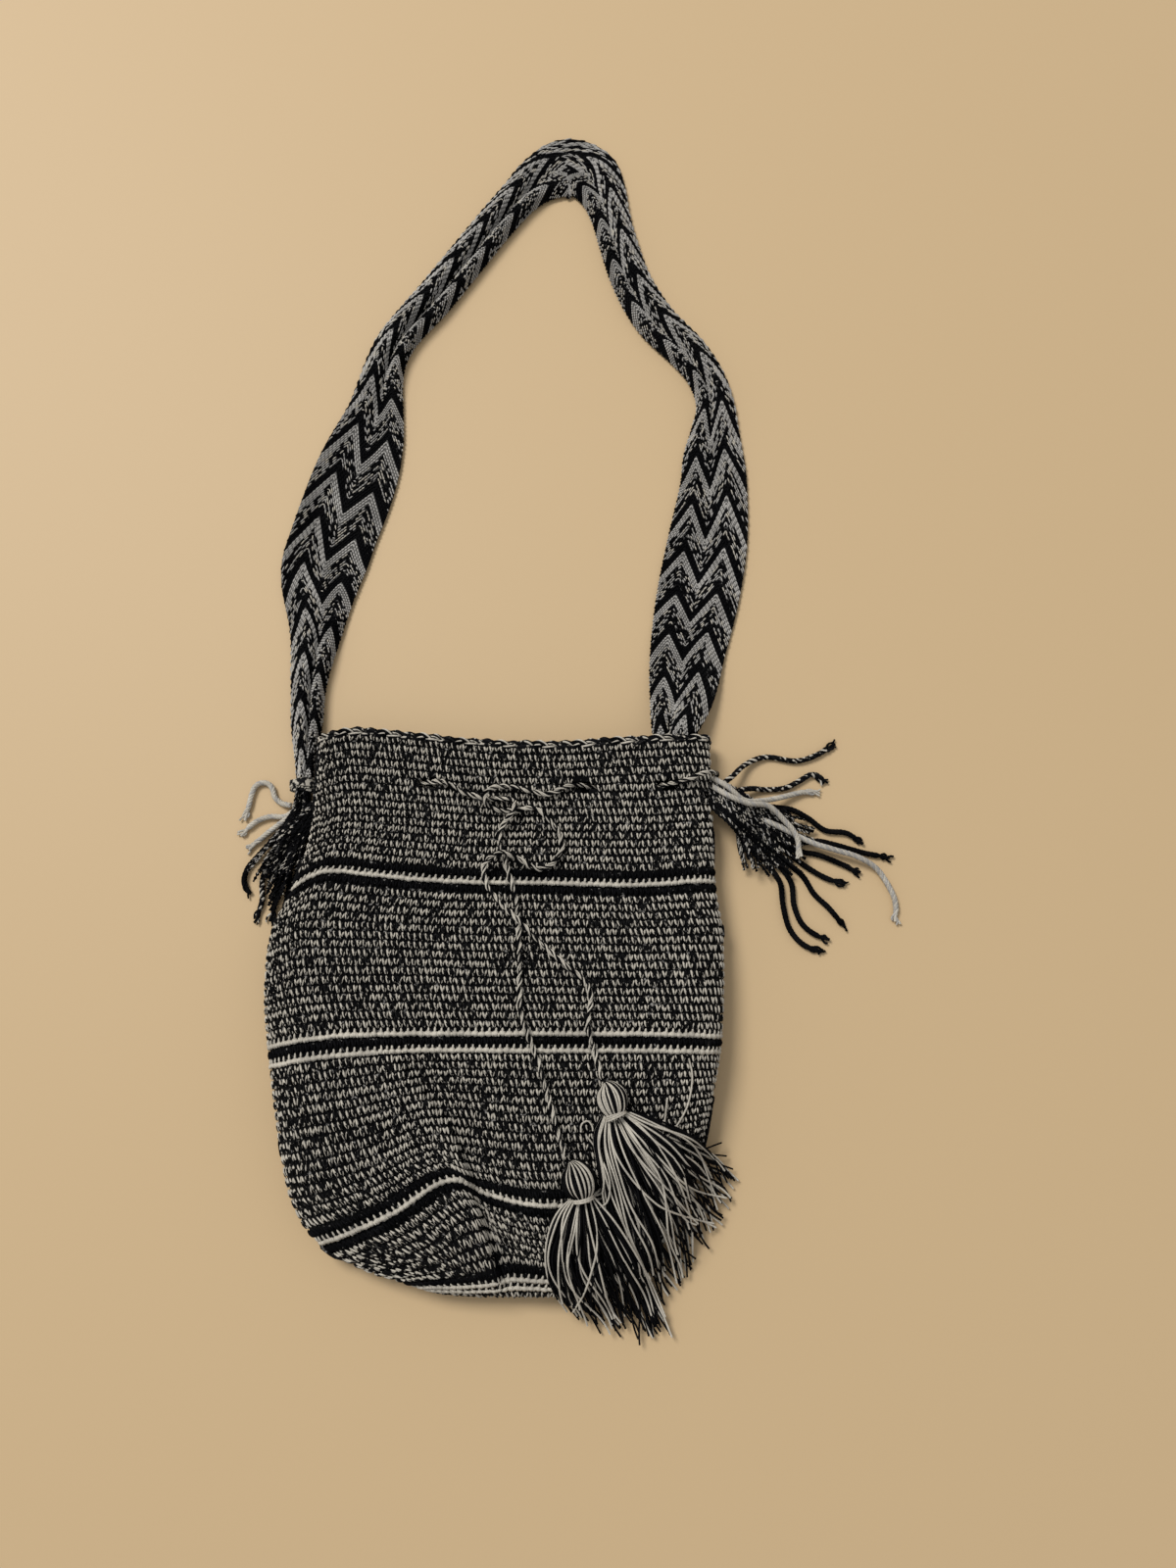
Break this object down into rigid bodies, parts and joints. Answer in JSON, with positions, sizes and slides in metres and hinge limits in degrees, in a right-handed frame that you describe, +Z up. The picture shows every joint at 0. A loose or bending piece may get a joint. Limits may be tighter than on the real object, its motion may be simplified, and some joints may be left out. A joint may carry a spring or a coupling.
{
  "type": "crocheted bucket shoulder bag",
  "caption": "Crocheted bucket shoulder bag lying flat, with a roped rim, a drawstring with tassels and a woven strap.",
  "frame": {"origin": "on the floor, in the middle of the bag and its laid out strap", "axes": "+X across the bag, +Y from its base to the top of the strap, +Z up from the back wall to the front"},
  "size_m": [0.3313, 0.639, 0.0462],
  "materials": {
    "yarn_heather": "matt mottled yarn",
    "yarn_black": "matt yarn",
    "yarn_pale": "matt yarn"
  },
  "bodies": {
    "root": {"bag_body": "yarn_heather", "strap_band": "yarn_heather", "lashing_left": "yarn_heather", "lashing_right": "yarn_heather", "drawstring": "yarn_heather", "tassel_lower_yarn": "yarn_heather", "tassel_lower_binding": "yarn_pale", "tassel_upper_yarn": "yarn_heather", "tassel_upper_binding": "yarn_pale", "fringe_left_a": "yarn_pale", "fringe_left_b": "yarn_pale", "fringe_left_c": "yarn_pale", "fringe_left_d": "yarn_black", "fringe_left_e": "yarn_heather", "fringe_left_f": "yarn_black", "fringe_left_g": "yarn_black", "fringe_right_a": "yarn_heather", "fringe_right_b": "yarn_heather", "fringe_right_c": "yarn_pale", "fringe_right_d": "yarn_pale", "fringe_right_e": "yarn_black", "fringe_right_f": "yarn_black", "fringe_right_g": "yarn_black", "fringe_right_h": "yarn_pale", "fringe_right_i": "yarn_black", "fringe_right_j": "yarn_black", "fringe_right_k": "yarn_black", "fringe_right_l": "yarn_black"}
  },
  "joints": []
}
